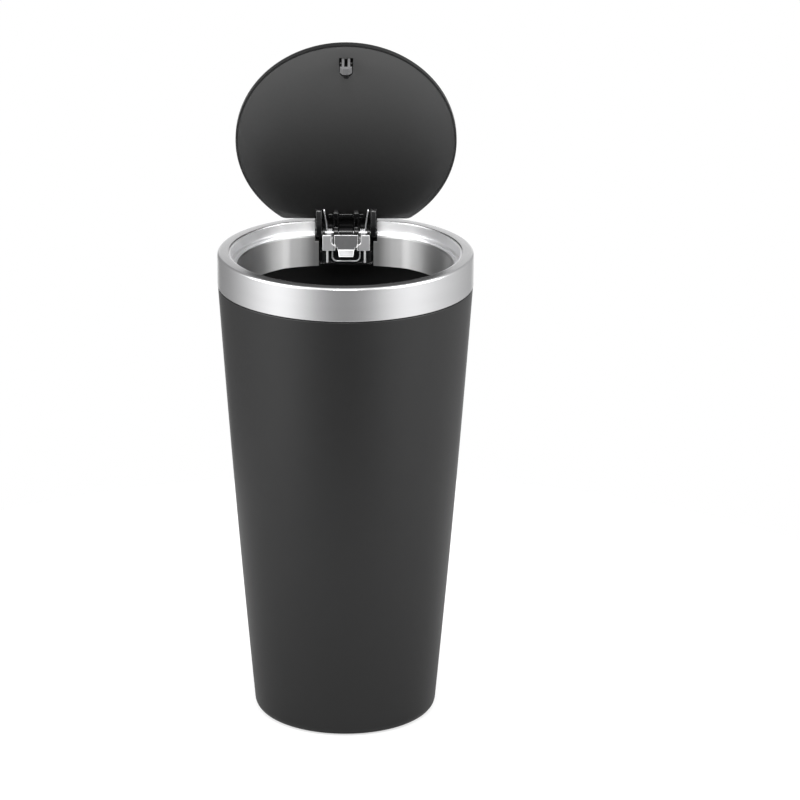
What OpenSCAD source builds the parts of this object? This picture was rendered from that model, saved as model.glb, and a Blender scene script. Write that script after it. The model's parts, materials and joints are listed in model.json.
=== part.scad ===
// Car trash bin: a tapered shell, a lift-off metal collar, a sprung flip lid and a push latch.
// The origin is at the centre of the base, Z points up and the hinge is on the +Y side.
// The lid stands open, the way the bin rests with the latch released.

/* [Shell] */
// Height of the rim above the base
bin_h = 167; // [150:1:190]
// Diameter of the base, which goes into a cup holder
base_d = 63; // [58:0.5:68]
// Step in from the collar's outside to the shell below it
shell_step = 0.15; // [0.1:0.05:0.6]
// Swell of the shell's side beyond a straight taper
shell_bulge = 0.5; // [0:0.1:0.8]
// Thickness of the shell wall
shell_wall = 1.8; // [1.4:0.1:2.0]
// Thickness of the shell floor
floor_t = 2; // [1.4:0.1:3]
// Height of the standing ring under the floor
base_lift = 1.2; // [0.6:0.1:2]
// Width of the standing ring
foot_w = 3.2; // [2.5:0.1:5]
// Radius of the outer corner at the base
base_round = 3.6; // [2:0.1:5]
// Thickness of the neck that the collar slides over
neck_wall = 1.3; // [1.1:0.1:1.4]
// Height of the neck above the shoulder
neck_h = 6.6; // [5:0.1:6.6]

/* [Collar] */
// Outer diameter of the collar
collar_d = 88; // [88:0.1:90]
// Height of the outer band
band_h = 11.8; // [11.4:0.1:14]
// Thickness of the band wall
band_wall = 1.7; // [1.4:0.1:1.8]
// Width of the flat rim face
rim_w = 4; // [3.9:0.05:4.2]
// Thickness of the rim
rim_t = 1.8; // [1.4:0.1:1.9]
// Radius of the rim's outer edge
rim_round = 1; // [0.6:0.1:1.4]
// Radius of the flatter arc at the back of the mouth
back_arc_r = 60; // [56:1:80]
// Distance of that arc's top inside the round mouth
back_flat = 2.6; // [2.45:0.05:2.8]
// Number of snap lugs that hold the insert in the band
lug_count = 6; // [4:1:8]

/* [Insert] */
// Thickness of the thin lip that shows inside the rim
lip_t = 0.5; // [0.4:0.05:0.6]
// Depth of the lip's top edge below the rim
lip_drop = 0.4; // [0.2:0.1:0.8]
// Depth of the lid recess
recess_depth = 3.7; // [3.6:0.1:3.9]
// Width of the upper ledge
ledge_w = 1.1; // [0.8:0.1:1.3]
// Height of the step between the two ledges
step_h = 0.8; // [0.5:0.1:0.9]
// Width of the lower ledge
inner_ledge_w = 1.6; // [1.4:0.1:1.7]
// Thickness of the sleeve wall
sleeve_wall = 1.4; // [1.1:0.1:1.5]
// Depth of the sleeve's lower edge below the rim
sleeve_depth = 15.5; // [15:0.1:18]

/* [Lid] */
// Gap between the closed lid's edge and the recess wall
lid_gap = 1.1; // [1:0.05:1.3]
// Thickness of the whole lid
lid_t = 2.4; // [2.2:0.1:2.5]
// Height of the closed lid's top above the rim
lid_proud = 0.1; // [0:0.05:0.3]
// Distance of the lid's straight back edge in front of the hinge pin
lid_back = 4.7; // [4.7:0.1:5.4]
// Corner radius at the ends of the straight edge
lid_corner = 4; // [3:0.5:6]
// Thickness of the cover's top skin
cover_skin = 1; // [0.8:0.1:1.2]
// Width of the cover's rim around the panel
cover_rim = 0.7; // [0.5:0.1:1]
// Radius of the cover's top edge
cover_edge = 0.5; // [0.3:0.1:0.8]
// Opening angle of the lid
open_angle = 74.5; // [68:0.5:78]

/* [Hinge] */
// Distance of the hinge pin in front of the mouth's back
hinge_back = 1.3; // [1.2:0.05:1.4]
// Depth of the hinge pin below the rim
hinge_drop = 4.3; // [4.2:0.1:4.4]
// Diameter of the hinge pin
pin_d = 1.5; // [1.2:0.1:1.6]
// Diameter of the lid's knuckles
knuckle_d = 3.8; // [3.4:0.1:4]
// Thickness of each outer ear of the lid
ear_t = 2.1; // [1.8:0.1:2.2]
// Outer face of the ears from the middle
ear_x = 10.6; // [10.5:0.05:10.65]
// Length of the ears along the lid from the pin
ear_l = 8.5; // [7.5:0.1:9.5]
// Thickness of each inner knuckle
rib_t = 1.8; // [1.5:0.1:1.8]
// Outer face of the inner knuckles from the middle
rib_x = 4.45; // [4.4:0.05:4.5]
// Wire diameter of the lid spring
wire_d = 0.5; // [0.4:0.05:0.5]
// Mean coil diameter of the lid spring
coil_d = 2.6; // [2.5:0.05:2.7]
// Whole turns in each coil of the lid spring
coil_turns = 3; // [2:1:3]
// Depth of the lowest point of the spring's bail below the rim
bail_depth = 14.4; // [13.6:0.1:14.5]
// Corner radius of the bail
bail_round = 1.7; // [1:0.1:2.2]
// Length of the screws that hold the carrier
carrier_screw_l = 3; // [2.6:0.1:3]

/* [Hinge cover] */
// Thickness of the stamped cover over the hinge
clip_t = 0.6; // [0.5:0.05:0.7]
// Half width of the stamped cover
clip_x = 8.3; // [8.1:0.05:8.35]
// Depth of the cover's top edge below the rim
clip_top = 4.4; // [4.4:0.1:5]
// Depth of the cover's lower edge below the rim
clip_bottom = 10.1; // [9.6:0.1:10.4]
// Width of each slot in the cover
clip_slot = 0.9; // [0.8:0.05:1]
// Half width of the cover's middle plate
plate_x = 4.25; // [4:0.05:4.4]
// Depth to which the middle plate is pressed back
plate_set = 0.3; // [0.2:0.05:0.35]
// Length of the bent tongue
tongue_l = 2.6; // [2:0.1:3]
// Bend of the tongue away from the plate
tongue_bend = 38; // [20:1:45]

/* [Latch] */
// Width of the latch housing
latch_w = 10.4; // [10.2:0.1:11.2]
// Distance of the latch's middle inside the sleeve
latch_inset = 4.75; // [4.65:0.05:5]
// Thickness of the housing walls
latch_wall = 1; // [0.8:0.05:1.05]
// Depth of the housing's top below the rim
latch_top = 6.6; // [6.5:0.05:6.6]
// Depth of the housing's bottom below the rim
latch_bottom = 24.5; // [24:0.1:26]
// Travel of the plunger
travel = 2.5; // [2.3:0.05:2.5]
// Outward tilt of the open jaws
jaw_tilt = 5.3; // [5:0.1:5.5]
// Diameter of the jaw pins
jaw_pin_d = 1; // [0.8:0.1:1.1]
// Wire diameter of the plunger spring
plunger_wire = 0.4; // [0.3:0.05:0.5]
// Mean diameter of the plunger spring
plunger_coil = 3.8; // [3.6:0.1:4.2]
// Turns of the plunger spring
plunger_turns = 5; // [4:1:6]

/* [Striker] */
// Length of the striker below the lid
striker_l = 7; // [6.9:0.05:7.05]
// Half width of the striker's head
head_x = 2.1; // [2:0.05:2.15]
// Height of the striker's head
head_h = 1.6; // [1.4:0.05:1.6]
// Thickness of each prong
prong_t = 0.87; // [0.7:0.01:0.9]
// Gap between the two prongs
prong_gap = 1.16; // [1:0.02:1.2]
// Half width of the striker's base plate
base_plate_x = 2.15; // [2.15:0.05:2.5]

/* [Clearances] */
// Radial clearance of the neck inside the band
collar_fit = 0.3; // [0.2:0.05:0.4]
// Gap between the band and the shell's shoulder
seam_gap = 0.2; // [0.1:0.05:0.3]
// Radial clearance of the lid's knuckles on the pin
knuckle_fit = 0.05; // [0.03:0.01:0.1]
// Clearance around pieces that are pressed or set in
seat_fit = 0.05; // [0.02:0.01:0.08]
// Side clearance between moving and fixed pieces
side_gap = 0.2; // [0.15:0.05:0.25]

/* [Hidden] */
$fn = 96;
eps = 0.01;

// Levels along the bin
rim_z = bin_h;
shoulder_z = rim_z - band_h - seam_gap;
neck_z = shoulder_z + neck_h;

// Radii of the shell and the collar
base_r = base_d / 2;
collar_r = collar_d / 2;
shell_top_r = collar_r - shell_step;
band_in_r = collar_r - band_wall;
rim_in_r = collar_r - rim_w;
neck_out_r = band_in_r - collar_fit;
neck_in_r = neck_out_r - neck_wall;
shell_lean = atan((shell_top_r - base_r + 4 * shell_bulge) / shoulder_z);
wall_steps = 10;
floor_z = base_lift + floor_t;
floor_round = 4;
neck_edge = 0.4;
neck_root = 2;

// Back of the mouth, the hinge pin and the lid's edges
back_y = rim_in_r - back_flat;
hinge_y = back_y - hinge_back;
lid_chord = hinge_y - lid_back;

// Insets of the insert's walls from the rim's inner edge
recess_inset = lip_t + seat_fit;
ledge_inset = recess_inset + ledge_w;
sleeve_inset = ledge_inset + inner_ledge_w;
sleeve_out_inset = sleeve_inset - sleeve_wall;
sleeve_r = rim_in_r - sleeve_inset;
sleeve_out_r = rim_in_r - sleeve_out_inset;
insert_flange_t = 2.2;
insert_flange_z = rim_z - rim_t - insert_flange_t;
ledge_z = rim_z - recess_depth;
inner_ledge_z = ledge_z - step_h;
under_ledge_z = inner_ledge_z - 1.3;
under_ledge_inset = -0.3;
sleeve_z = rim_z - sleeve_depth;
lug_in = 0.35;
lug_h = 0.45;
lug_angle = 12;

// Hinge
hinge_z = rim_z - hinge_drop;
knuckle_r = knuckle_d / 2;
lug_r = 1.7;
pin_r = pin_d / 2;
wire_r = wire_d / 2;
coil_r = coil_d / 2;
lug_x1 = ear_x - ear_t - side_gap;
lug_x0 = lug_x1 - 0.95;
mid_lug_x = rib_x - rib_t - side_gap;
notch_x = ear_x + side_gap + 0.1;
notch_depth = hinge_drop + knuckle_r + 0.7;
window_x = 9.6;
pocket_y = back_y + 2.7;
carrier_back_y = pocket_y - 0.2;
carrier_back_r = neck_in_r - 0.3;
carrier_wall_y = hinge_y + knuckle_r + 0.3;
carrier_bottom = sleeve_depth - 0.2;
carrier_wing_x = 12.4;
carrier_wing_y = hinge_y + 0.2;
carrier_wing_t = 1.1;
carrier_wing_top = 7;
clip_y = hinge_y - knuckle_r - 0.3;
bail_y = hinge_y - 1.6;
bail_x = rib_x + 0.15 + wire_r;
coil_x = lug_x0 - side_gap - wire_r - 0.05;
leg_splay = 0.85;
leg_gap = 0.45;
carrier_front_y = bail_y + wire_r + 0.2;
screw_r = 0.6;
screw_head_r = 1.2;
screw_x = carrier_wing_x - screw_head_r;
screw_drop = 11;
boss_y = back_y - sleeve_out_inset - 1.65;

// Lid in its closed place
lid_r = rim_in_r - recess_inset - lid_gap;
lid_top_z = rim_z + lid_proud;
lid_under_z = lid_top_z - lid_t;
panel_t = lid_t - cover_skin;
corner_y = lid_chord - lid_corner;
corner_x = sqrt(pow(lid_r - lid_corner, 2) - pow(corner_y, 2));
under_h = lid_under_z - hinge_z;

// Middle of the latch
latch_y = sleeve_r - latch_inset;

// Striker, measured on the closed lid
prong_x0 = prong_gap / 2;
prong_x1 = prong_x0 + prong_t;
striker_y0 = -latch_y - 1;
striker_y1 = -latch_y + 1.3;
base_plate_t = 0.8;
base_plate_end = -latch_y + 6.1;
pocket_gap = 0.2;
striker_screw_y = base_plate_end - 0.4;

// Latch, with the plunger up
latch_x = latch_w / 2;
bore_x = latch_x - latch_wall - side_gap;
bore_y = 3.7;
front_y = -latch_y + bore_y + latch_wall;
bore_top = latch_top + 2.3;
mouth_x0 = 3.6;
mouth_x1 = 4.25;
mouth_y = 2.5;
plunger_x = bore_x - 2 * side_gap;
plunger_y = bore_y - 0.3;
seat_depth = -lid_proud + lid_t + striker_l + 0.4;
cheek_top = bore_top + side_gap;
cheek_t = 1.2;
jaw_y = plunger_y - cheek_t - side_gap;
jaw_pivot_x = 2.75;
jaw_pivot_depth = 12.4;
jaw_pin_r = jaw_pin_d / 2;
jaw_root_r = 0.95;
jaw_in = 2.25;
jaw_arm = 0.65;
jaw_out = 3.5;
jaw_neck_h = 6.25;
jaw_top_h = 8.3;
lip_h = 1;
lip_x = prong_x1 + 0.15;
plunger_base_top = jaw_pivot_depth + jaw_root_r + 0.25;
plunger_bottom = 17.5;
spigot_r = plunger_coil / 2 - plunger_wire - 0.1;
latch_floor = latch_bottom - latch_wall;
latch_screw_x = 3;
latch_screw_depth = 11.5;
latch_screw_l = sleeve_out_r - latch_y - bore_y - 0.3;
follower_r = 0.25;
follower_x = -0.9;
follower_y = -latch_y + plunger_y - 0.35;
follower_tip = 14.6;
follower_foot = 22.6;
groove_t = 0.75;

// Points on an arc about c
function arc(c, r, a0, a1, n) =
    [for (i = [0 : n]) let (a = a0 + (a1 - a0) * i / n) c + r * [cos(a), sin(a)]];

// Outer radius of the shell at height z
function shell_r(z) = let (t = z / shoulder_z)
    base_r + (shell_top_r - base_r) * t + 4 * shell_bulge * t * (1 - t);

// Moves a point of the closed lid to its place on the open lid
function opened(p) = let (y = p[1] - hinge_y, z = p[2] - hinge_z) [
    p[0],
    hinge_y + y * cos(open_angle) + z * sin(open_angle),
    hinge_z - y * sin(open_angle) + z * cos(open_angle),
];

function unit(v) = v / norm(v);

function heading_at(a) = [cos(a), sin(a)];

// Direction of a path at point i
function heading(path, i) =
    unit(path[min(i + 1, len(path) - 1)] - path[max(i - 1, 0)]);

// Normals carried along a path without twist
function normals(path, i, n) = i == len(path) ? [] :
    let (t = heading(path, i), m = unit(n - (n * t) * t))
    concat([m], normals(path, i + 1, m));

// Round wire along a path
module wire(path, r, first_normal, sides = 8) {
    rows = normals(path, 0, first_normal);
    points = [
        for (i = [0 : len(path) - 1])
            let (n = rows[i], b = cross(heading(path, i), n))
            for (k = [0 : sides - 1]) path[i] + r * (cos(360 * k / sides) * n + sin(360 * k / sides) * b)
    ];
    last = (len(path) - 1) * sides;
    faces = concat(
        [[for (k = [0 : sides - 1]) k]],
        [[for (k = [sides - 1 : -1 : 0]) last + k]],
        [
            for (i = [0 : len(path) - 2], k = [0 : sides - 1])
                let (a = i * sides + k, b = i * sides + (k + 1) % sides)
                each [[a, a + sides, b + sides], [a, b + sides, b]]
        ]
    );
    polyhedron(points, faces, convexity = 8);
}

// Extrudes an outline of the Y-Z plane along X
module along_x(x0, x1) {
    translate([x0, 0, 0])
    rotate([90, 0, 90])
    linear_extrude(x1 - x0)
    children();
}

// Extrudes an outline of the X-Z plane along Y
module along_y(y0, y1) {
    translate([0, y1, 0])
    rotate([90, 0, 0])
    linear_extrude(y1 - y0)
    children();
}

// A block between two corners
module block(a, b) {
    translate(a)
    cube(b - a);
}

module both_sides() {
    children();
    mirror([1, 0, 0])
    children();
}

// The mouth's outline, a circle with a flatter back, inset from the rim's inner edge
module mouth(inset, z0, z1, flare = 0) {
    intersection() {
        translate([0, 0, z0])
        cylinder(h = z1 - z0, r1 = rim_in_r - inset, r2 = rim_in_r - inset + flare);
        translate([0, back_y - back_arc_r, z0])
        cylinder(h = z1 - z0, r1 = back_arc_r - inset, r2 = back_arc_r - inset + flare);
    }
}

module shell() {
    foot_c = [shell_r(base_round) - base_round / cos(shell_lean), base_round];
    wall = shell_wall / cos(shell_lean);
    inner_c = [shell_r(floor_z + floor_round) - wall - floor_round, floor_z + floor_round];
    step = shell_r(shoulder_z) - wall - neck_in_r;
    step_z = shoulder_z - neck_root;
    foot_in = foot_c[0] - foot_w;
    color("#3c3c3e")
    rotate_extrude($fn = 180)
    polygon(concat(
        [[0, base_lift], [foot_in - base_lift, base_lift], [foot_in, 0]],
        arc(foot_c, base_round, -90, -shell_lean, 8),
        [for (i = [1 : wall_steps]) let (z = shoulder_z * i / wall_steps) [shell_r(z), z]],
        [
            [neck_out_r, shoulder_z],
            [neck_out_r, neck_z - neck_edge], [neck_out_r - neck_edge, neck_z],
            [neck_in_r + neck_edge, neck_z], [neck_in_r, neck_z - neck_edge],
            [neck_in_r, step_z], [shell_r(step_z - step) - wall, step_z - step],
        ],
        [for (i = [wall_steps - 2 : -1 : 1]) let (z = shoulder_z * i / wall_steps) [shell_r(z) - wall, z]],
        arc(inner_c, floor_round, 0, -90, 6),
        [[0, floor_z]]
    ));
}

module collar_band() {
    bottom_z = rim_z - band_h;
    edge = 0.3;
    flange_r = back_y - 6;
    color("#c9cacb")
    difference() {
        union() {
            rotate_extrude($fn = 180)
            polygon(concat(
                [[band_in_r, bottom_z + edge], [band_in_r + edge, bottom_z]],
                [[collar_r - edge, bottom_z], [collar_r, bottom_z + edge]],
                arc([collar_r - rim_round, rim_z - rim_round], rim_round, 0, 90, 6),
                [[flange_r, rim_z], [flange_r, rim_z - rim_t], [band_in_r, rim_z - rim_t]]
            ));
            for (i = [0 : lug_count - 1])
                rotate(360 * (i + 0.5) / lug_count - lug_angle / 2)
                snap_lug();
        }
        mouth(0, rim_z - rim_t - 1, rim_z + 1);
        mouth(0, rim_z - 0.25, rim_z + eps, 0.26);
        block([-notch_x, hinge_y - 9, rim_z - rim_t - 1], [notch_x, pocket_y, rim_z + 1]);
    }
}

// A short ridge inside the band that the insert's flange snaps past
module snap_lug() {
    top = insert_flange_z - seat_fit;
    rotate_extrude(angle = lug_angle)
    polygon([
        [band_in_r + 0.2, top], [band_in_r, top], [band_in_r - lug_in, top - 0.1],
        [band_in_r, top - lug_h], [band_in_r + 0.2, top - lug_h],
    ]);
}

module collar_insert() {
    color("#b9babb")
    difference() {
        union() {
            translate([0, 0, insert_flange_z])
            cylinder(h = insert_flange_t, r = band_in_r - seat_fit);
            mouth(seat_fit, rim_z - rim_t - eps, rim_z - lip_drop);
            mouth(under_ledge_inset, under_ledge_z, insert_flange_z + eps);
            mouth(sleeve_out_inset, sleeve_z, under_ledge_z + eps);
            both_sides()
            insert_boss();
        }
        mouth(recess_inset, ledge_z, rim_z);
        mouth(ledge_inset, inner_ledge_z, ledge_z + eps);
        mouth(ledge_inset - 0.2, ledge_z - 0.2, ledge_z + eps, 0.21);
        mouth(sleeve_inset, sleeve_z - 1, inner_ledge_z + eps);
        mouth(sleeve_inset, inner_ledge_z - 0.5, inner_ledge_z + eps, 0.51);
        block([-notch_x, hinge_y - 9, rim_z - notch_depth], [notch_x, pocket_y + 0.1, rim_z + 1]);
        block([-window_x, hinge_y - 9, sleeve_z - 1], [window_x, pocket_y, rim_z - notch_depth + eps]);
        both_sides()
        block(
            [notch_x - 1, carrier_wing_y - 0.2, rim_z - notch_depth],
            [carrier_wing_x + 0.3, pocket_y + 0.1, insert_flange_z - eps]
        );
        both_sides()
        translate([screw_x, carrier_wing_y + 1, rim_z - screw_drop])
        rotate([90, 0, 0])
        cylinder(h = carrier_screw_l + 0.2, r = screw_r + seat_fit);
        both_sides()
        translate([latch_screw_x, -sleeve_r + 2, rim_z - latch_screw_depth])
        rotate([90, 0, 0])
        cylinder(h = 6, r = screw_r + seat_fit);
    }
}

// Boss behind the sleeve that takes a carrier screw
module insert_boss() {
    translate([screw_x, carrier_wing_y, rim_z - screw_drop])
    rotate([90, 0, 0])
    cylinder(h = carrier_wing_y - boss_y, r = 1.3);
}

// Side outline of a fixed lug around the pin
module lug_outline(front) {
    polygon([
        [front, rim_z - carrier_bottom], [carrier_wall_y + 0.2, rim_z - carrier_bottom],
        [carrier_wall_y + 0.2, hinge_z], [hinge_y + 1.2, hinge_z + 1.2], [hinge_y - 1.2, hinge_z + 1.2],
        [hinge_y - lug_r, hinge_z], [front, hinge_z - 0.7],
    ]);
    translate([hinge_y, hinge_z])
    circle(r = lug_r);
}

module hinge_carrier() {
    bottom_z = rim_z - carrier_bottom;
    wing_top_z = rim_z - carrier_wing_top;
    lip_y = clip_y - 0.1;
    color("#18181a")
    difference() {
        union() {
            intersection() {
                block([-ear_x, carrier_wall_y, bottom_z], [ear_x, carrier_back_y, rim_z - 0.2]);
                translate([0, 0, bottom_z - 1])
                cylinder(h = carrier_bottom + 2, r = carrier_back_r, $fn = 180);
            }
            both_sides()
            block(
                [window_x + 0.1, carrier_wing_y, bottom_z],
                [carrier_wing_x, carrier_wing_y + carrier_wing_t, wing_top_z]
            );
            both_sides()
            block([window_x + 0.1, carrier_wing_y, bottom_z], [ear_x, carrier_wall_y + 0.2, wing_top_z]);
            both_sides()
            along_x(lug_x0, lug_x1)
            lug_outline(clip_y);
            along_x(-mid_lug_x, mid_lug_x)
            lug_outline(carrier_front_y);
            block(
                [-window_x + 0.3, carrier_front_y, bottom_z],
                [window_x - 0.3, carrier_front_y + 1, rim_z - clip_bottom - 0.5]
            );
            block([-window_x + 0.3, lip_y, bottom_z], [window_x - 0.3, carrier_front_y + 0.2, bottom_z + 0.5]);
            block([-ear_x, carrier_front_y, bottom_z], [ear_x, carrier_wall_y + 0.2, bottom_z + 1]);
            both_sides()
            block([window_x - 0.3, carrier_front_y + 0.8, bottom_z], [ear_x, carrier_wing_y + 0.2, bottom_z + 1]);
        }
        translate([-ear_x, hinge_y, hinge_z])
        rotate([0, 90, 0])
        cylinder(h = 2 * ear_x, r = pin_r + seat_fit / 2);
        both_sides()
        translate([screw_x, carrier_back_y, rim_z - screw_drop])
        rotate([90, 0, 0])
        cylinder(h = carrier_back_y - carrier_wing_y + 0.1, r = screw_r + 0.1);
        both_sides()
        translate([screw_x, carrier_back_y + 1, rim_z - screw_drop])
        rotate([90, 0, 0])
        cylinder(h = carrier_back_y + 1 - carrier_wing_y - carrier_wing_t, r = screw_head_r + 0.15);
    }
}

// A small pan-head screw along -Z with its head's underside at the origin
module small_screw(length, head_t) {
    translate([0, 0, -length])
    cylinder(h = length + eps, r = screw_r, $fn = 32);
    difference() {
        cylinder(h = head_t, r1 = screw_head_r, r2 = screw_head_r - 0.25, $fn = 32);
        for (a = [0, 90])
            rotate(a)
            block([-0.7, -0.13, head_t - 0.4], [0.7, 0.13, head_t + 1]);
    }
}

module carrier_screws() {
    color("silver")
    both_sides()
    translate([screw_x, carrier_wing_y + carrier_wing_t, rim_z - screw_drop])
    rotate([-90, 0, 0])
    small_screw(carrier_screw_l, 0.8);
}

// Front outline of one tab of the stamped cover, with its foot and leg
module tab_outline() {
    top_z = rim_z - clip_top;
    bottom_z = rim_z - clip_bottom;
    inner = plate_x + clip_slot;
    polygon([
        [inner, top_z], [clip_x, top_z], [clip_x, bottom_z],
        [plate_x - 0.45, bottom_z], [plate_x - 0.45, bottom_z + 1.1], [plate_x - 0.3, bottom_z + 2],
        [plate_x + 0.3, bottom_z + 2.35], [inner - 0.15, bottom_z + 2.7], [inner, bottom_z + 3.2],
    ]);
    translate([clip_x - 2.05, rim_z - carrier_bottom + 0.75])
    square([0.7, carrier_bottom - clip_bottom]);
}

module hinge_cover() {
    top_z = rim_z - clip_top;
    bottom_z = rim_z - clip_bottom;
    foot_z = rim_z - carrier_bottom + 0.75;
    leg_x = clip_x - 1.7;
    tongue_z = bottom_z + 0.25;
    color("#c4c5c6") {
        both_sides()
        along_y(clip_y - clip_t, clip_y)
        tab_outline();
        block([-plate_x, clip_y - clip_t + plate_set, bottom_z + 1], [plate_x, clip_y, top_z]);
        block([-3.2, clip_y - clip_t + plate_set, tongue_z], [3.2, clip_y, bottom_z + 1 + eps]);
        translate([0, clip_y - clip_t + plate_set, tongue_z])
        rotate([-tongue_bend, 0, 0])
        along_y(0, clip_t - plate_set)
        polygon([[-2.9, 0.25], [2.9, 0.25], [2.5, -tongue_l], [-2.5, -tongue_l]]);
        both_sides()
        block([leg_x - 0.35, clip_y - eps, foot_z], [leg_x + 0.35, carrier_front_y, foot_z + 0.5]);
    }
}

module hinge_pin() {
    reach = ear_x + 0.1;
    tip = 0.2;
    color("silver")
    translate([0, hinge_y, hinge_z])
    rotate([0, 90, 0])
    rotate_extrude()
    polygon([
        [0, -reach], [pin_r - tip, -reach], [pin_r, tip - reach],
        [pin_r, reach - tip], [pin_r - tip, reach], [0, reach],
    ]);
}

// Half of the lid spring's path, from the tip on the lid to the middle of the bail
function spring_half() =
    let (
        start = 90 - open_angle,
        sweep = start + 90 + 360 * coil_turns,
        steps = 14 * (coil_turns + 1),
        tip_h = under_h - wire_r - 0.05,
        bail_z = rim_z - bail_depth + wire_r,
        foot_z = hinge_z - coil_r,
        bend = 0.55
    )
    concat(
        [
            opened([coil_x + leg_splay, hinge_y - ear_l, hinge_z + tip_h]),
            opened([coil_x + leg_splay - 0.05, hinge_y - ear_l + 0.8, hinge_z + tip_h - 0.05]),
            opened([coil_x, hinge_y - lug_r - 0.4, hinge_z + coil_r]),
        ],
        [
            for (i = [0 : steps])
                let (a = start - sweep * i / steps)
                [
                    coil_x + (bail_x - coil_x) * i / steps,
                    hinge_y + coil_r * cos(a),
                    hinge_z + coil_r * sin(a),
                ]
        ],
        [
            for (p = arc([bail_y + bend, foot_z - bend], bend, 90, 180, 4)) [bail_x, p[0], p[1]]
        ],
        [
            for (p = arc([bail_x - bail_round, bail_z + bail_round], bail_round, 0, -90, 6))
                [p[0], bail_y, p[1]]
        ]
    );

module lid_spring() {
    half = spring_half();
    last = len(half) - 1;
    path = concat(half, [for (i = [last : -1 : 0]) [-half[i][0], half[i][1], half[i][2]]]);
    color("#d8d8d8")
    wire(path, wire_r, [0, 0, 1] + [1, 0, 0]);
}

// Outline that cuts the lid's straight back edge and its round corners from a circle
function back_cut(inset) =
    let (
        c = [corner_x, corner_y],
        start = atan2(corner_y, corner_x),
        away = heading_at(start),
        right = concat(
            [2 * lid_r * away, (lid_r + 0.3) * away],
            [for (k = [1 : 5]) c + (lid_corner - inset) * heading_at(start + (90 - start) * k / 5)]
        )
    )
    concat(
        [[-2 * lid_r, -2 * lid_r], [2 * lid_r, -2 * lid_r]],
        right,
        [for (i = [len(right) - 1 : -1 : 0]) [-right[i][0], right[i][1]]]
    );

// The lid's outline between two heights
module lid_slab(inset, z0, z1) {
    intersection() {
        translate([0, 0, z0])
        cylinder(h = z1 - z0, r = lid_r - inset, $fn = 180);
        translate([0, 0, z0 - 1])
        linear_extrude(z1 - z0 + 2)
        polygon(back_cut(inset));
    }
}

// Turns the closed lid's pieces to the open pose
module on_lid() {
    translate([0, hinge_y, hinge_z])
    rotate([-open_angle, 0, 0])
    translate([0, -hinge_y, -hinge_z])
    children();
}

module lid_cover() {
    color("#2b2b2d")
    on_lid()
    difference() {
        intersection() {
            rotate_extrude($fn = 180)
            polygon(concat(
                [[0, lid_under_z], [lid_r, lid_under_z]],
                arc([lid_r - cover_edge, lid_top_z - cover_edge], cover_edge, 0, 90, 5),
                [[0, lid_top_z]]
            ));
            translate([0, 0, lid_under_z - 1])
            linear_extrude(lid_t + 2)
            polygon(back_cut(0));
        }
        lid_slab(cover_rim, lid_under_z - 1, lid_under_z + panel_t);
        along_x(-lid_r, lid_r)
        polygon([
            [lid_chord - cover_edge, lid_top_z + eps], [lid_chord + 1, lid_top_z + eps],
            [lid_chord + 1, lid_top_z - cover_edge], [lid_chord + eps, lid_top_z - cover_edge],
        ]);
    }
}

// Side outline of an outer ear, from its knuckle to its toe under the panel
module ear_outline() {
    toe_y = hinge_y - ear_l;
    translate([hinge_y, hinge_z])
    circle(r = knuckle_r);
    polygon([
        [hinge_y, hinge_z - knuckle_r], [hinge_y, hinge_z + knuckle_r],
        [hinge_y - 1, lid_under_z], [toe_y, lid_under_z],
        [toe_y, lid_under_z - 0.6], [toe_y + 0.5, lid_under_z - 1.1],
        [hinge_y - 4, hinge_z - knuckle_r + 0.5], [hinge_y - 2.5, hinge_z - knuckle_r],
    ]);
}

// Side outline of an inner knuckle, whose arm passes over the stamped cover
module rib_outline() {
    toe_y = hinge_y - ear_l + 0.3;
    arm_z = hinge_z + 0.25;
    translate([hinge_y, hinge_z])
    circle(r = knuckle_r);
    polygon([
        [hinge_y, hinge_z], [hinge_y, hinge_z + knuckle_r],
        [hinge_y - 1, lid_under_z], [toe_y, lid_under_z],
        [toe_y, lid_under_z - 0.5], [toe_y + 0.6, arm_z + 0.2],
        [hinge_y - knuckle_r, arm_z],
    ]);
}

module lid_panel() {
    web_y = lid_chord - cover_rim - seat_fit;
    web_h = 0.9;
    color("#232325")
    on_lid()
    difference() {
        union() {
            lid_slab(cover_rim + seat_fit, lid_under_z, lid_under_z + panel_t - seat_fit);
            both_sides()
            along_x(ear_x - ear_t, ear_x)
            ear_outline();
            both_sides()
            along_x(rib_x - rib_t, rib_x)
            rib_outline();
            block([-ear_x, web_y - 1.5, lid_under_z - web_h], [ear_x, web_y, lid_under_z + 0.1]);
        }
        both_sides()
        block(
            [coil_x - leg_gap, web_y - 2, lid_under_z - web_h - 1],
            [coil_x + leg_splay + leg_gap, web_y + 1, lid_under_z]
        );
        translate([-ear_x - 1, hinge_y, hinge_z])
        rotate([0, 90, 0])
        cylinder(h = 2 * ear_x + 2, r = pin_r + knuckle_fit);
        translate([0, 0, lid_under_z - 1])
        linear_extrude(1 + base_plate_t)
        base_plate_outline(pocket_gap);
        translate([0, striker_screw_y, lid_under_z])
        cylinder(h = panel_t - 0.15, r = 0.5 + seat_fit, $fn = 32);
    }
}

// Outline of the striker's base plate
module base_plate_outline(gap) {
    x = base_plate_x + gap;
    translate([-x, striker_y0 - gap])
    square([2 * x, base_plate_end - striker_y0 + 2 * gap - x]);
    translate([0, base_plate_end + gap - x])
    circle(r = x, $fn = 48);
}

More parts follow.
